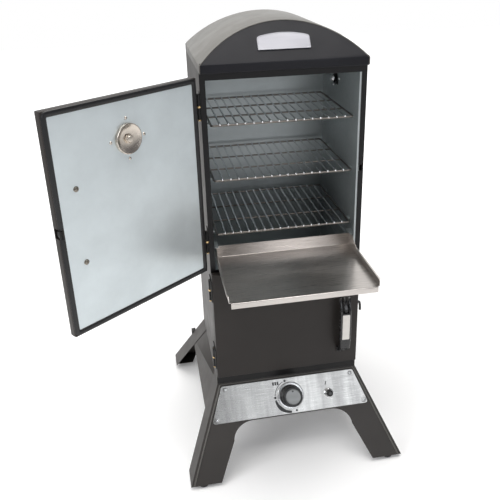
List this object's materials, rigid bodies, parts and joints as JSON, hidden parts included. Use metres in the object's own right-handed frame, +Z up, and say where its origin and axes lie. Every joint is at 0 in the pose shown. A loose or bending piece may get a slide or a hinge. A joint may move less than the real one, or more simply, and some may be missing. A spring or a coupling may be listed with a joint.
{
  "type": "vertical water smoker",
  "caption": "Tall arched-roof gas smoker on splayed legs, with a swung-open upper door, wire racks, a drawn-out shelf tray, a shut lower door and a sloping control plate.",
  "frame": {"origin": "on the floor, at the centre of the four feet", "axes": "+Z up; the front with the doors and controls faces -Y; +X is to the right seen from the front"},
  "size_m": [0.8937, 0.8011, 1.287],
  "materials": {
    "painted": "satin baked enamel",
    "bright_liner": "aluminised sheet, dull",
    "brushed": "brushed stainless",
    "wire_chrome": "bright plated",
    "iron": "dark, rough",
    "brass_parts": "machined",
    "black_plastic": "moulded, slightly glossy",
    "knob_plastic": "moulded, polished",
    "seal": "black woven rope seal",
    "dial": "printed face",
    "needle_red": "enamel"
  },
  "bodies": {
    "cabinet": {"left_wall": "painted", "right_wall": "painted", "back_wall": "painted", "front_frame": "painted", "upper_liner": "bright_liner", "lower_liner": "bright_liner", "ceiling_liner": "bright_liner", "floor_pan": "painted", "roof_shell": "painted", "roof_front": "painted", "roof_back_panel": "painted", "badge_plate": "brushed", "front_legs": "painted", "rear_legs": "painted", "side_skirts": "painted", "feet": "black_plastic", "control_plate": "brushed", "panel_screws": "wire_chrome", "knob_bezel": "wire_chrome", "gas_valve": "brass_parts", "gas_inlet": "brass_parts", "igniter_body": "wire_chrome", "burner": "iron", "burner_tube": "iron", "burner_bracket": "iron", "smoker_box": "iron", "water_bowl": "bright_liner", "bowl_support": "bright_liner", "cooking_racks": "wire_chrome", "tray_rails": "bright_liner", "hinge_brackets": "painted", "hinge_pins": "brass_parts", "hardware": "wire_chrome"},
    "main_door": {"main_door_skin": "painted", "main_door_liner": "bright_liner", "main_door_gasket": "seal", "main_door_hinges": "painted", "main_handle": "black_plastic", "handle_plate": "brushed", "handle_screws": "wire_chrome", "thermo_case": "wire_chrome", "thermo_dial": "dial", "thermo_cup": "wire_chrome"},
    "main_trigger_body": {"main_trigger": "black_plastic"},
    "main_latch_body": {"main_latch": "black_plastic"},
    "needle": {"thermo_needle": "needle_red"},
    "tray": {"shelf_tray": "brushed"},
    "lower_door": {"low_door_skin": "painted", "low_door_liner": "bright_liner", "low_door_hinges": "painted", "low_handle": "black_plastic", "low_plate": "brushed"},
    "low_trigger_body": {"low_trigger": "black_plastic"},
    "low_latch_body": {"low_latch": "black_plastic"},
    "stem": {"valve_stem": "brass_parts"},
    "knob": {"burner_knob": "knob_plastic", "knob_insert": "brushed"},
    "igniter": {"igniter_button": "knob_plastic"},
    "damper_body": {"damper": "painted"},
    "lid": {"smoker_lid": "iron"}
  },
  "joints": [
    {"name": "main_door_hinge", "type": "hinge", "parent": "cabinet", "child": "main_door", "pos_m": [-0.2194, -0.1893, 0.9], "axis": [0, 0, 1], "range_deg": [0, 142]},
    {"name": "tray_slide", "type": "slide", "parent": "cabinet", "child": "tray", "axis": [0, 1, 0], "range_m": [0, 0.3161]},
    {"name": "lower_door_hinge", "type": "hinge", "parent": "cabinet", "child": "lower_door", "pos_m": [-0.2194, -0.1893, 0.46], "axis": [0, 0, 1], "range_deg": [-115, 0]},
    {"name": "main_trigger_press", "type": "hinge", "parent": "main_door", "child": "main_trigger_body", "pos_m": [-0.53715, -0.38666, 0.9735], "axis": [-0.788, -0.6157, 0], "range_deg": [0, 10], "stiffness_Nm_per_rad": 0.4},
    {"name": "main_latch_slide", "type": "slide", "parent": "main_door", "child": "main_latch_body", "axis": [0.788, 0.6157, 0], "range_m": [0, 0.0026]},
    {"name": "low_trigger_press", "type": "hinge", "parent": "lower_door", "child": "low_trigger_body", "pos_m": [0.1615, -0.2294, 0.5115], "axis": [1, 0, 0], "range_deg": [0, 10], "stiffness_Nm_per_rad": 0.4},
    {"name": "low_latch_slide", "type": "slide", "parent": "lower_door", "child": "low_latch_body", "axis": [-1, 0, 0], "range_m": [0, 0.0026]},
    {"name": "needle_turn", "type": "hinge", "parent": "main_door", "child": "needle", "pos_m": [-0.41011, -0.30644, 1.065], "axis": [-0.6157, 0.788, 0], "range_deg": [-240, 0], "stiffness_Nm_per_rad": 0.01},
    {"name": "knob_push", "type": "slide", "parent": "cabinet", "child": "stem", "axis": [0, 0.8446, -0.5354], "range_m": [0, 0.003], "stiffness_N_per_m": 900},
    {"name": "knob_turn", "type": "hinge", "parent": "stem", "child": "knob", "pos_m": [0.002, -0.22971, 0.2033], "axis": [0, -0.8446, 0.5354], "range_deg": [0, 200]},
    {"name": "igniter_push", "type": "slide", "parent": "cabinet", "child": "igniter", "axis": [0, 0.8446, -0.5354], "range_m": [0, 0.003], "stiffness_N_per_m": 500},
    {"name": "damper_turn", "type": "hinge", "parent": "cabinet", "child": "damper_body", "pos_m": [0.217, 0.041, 1.098], "axis": [1, 0, 0], "range_deg": [0, 60]},
    {"name": "lid_lift", "type": "slide", "parent": "cabinet", "child": "lid", "axis": [0, 0, 1], "range_m": [0, 0.06]}
  ],
  "couplings": [
    {"joint": "tray_slide", "follows": "main_door_hinge", "m_per_rad": 0.1275},
    {"joint": "main_latch_slide", "follows": "main_trigger_press", "m_per_rad": 0.014324},
    {"joint": "low_latch_slide", "follows": "low_trigger_press", "m_per_rad": 0.014324}
  ]
}
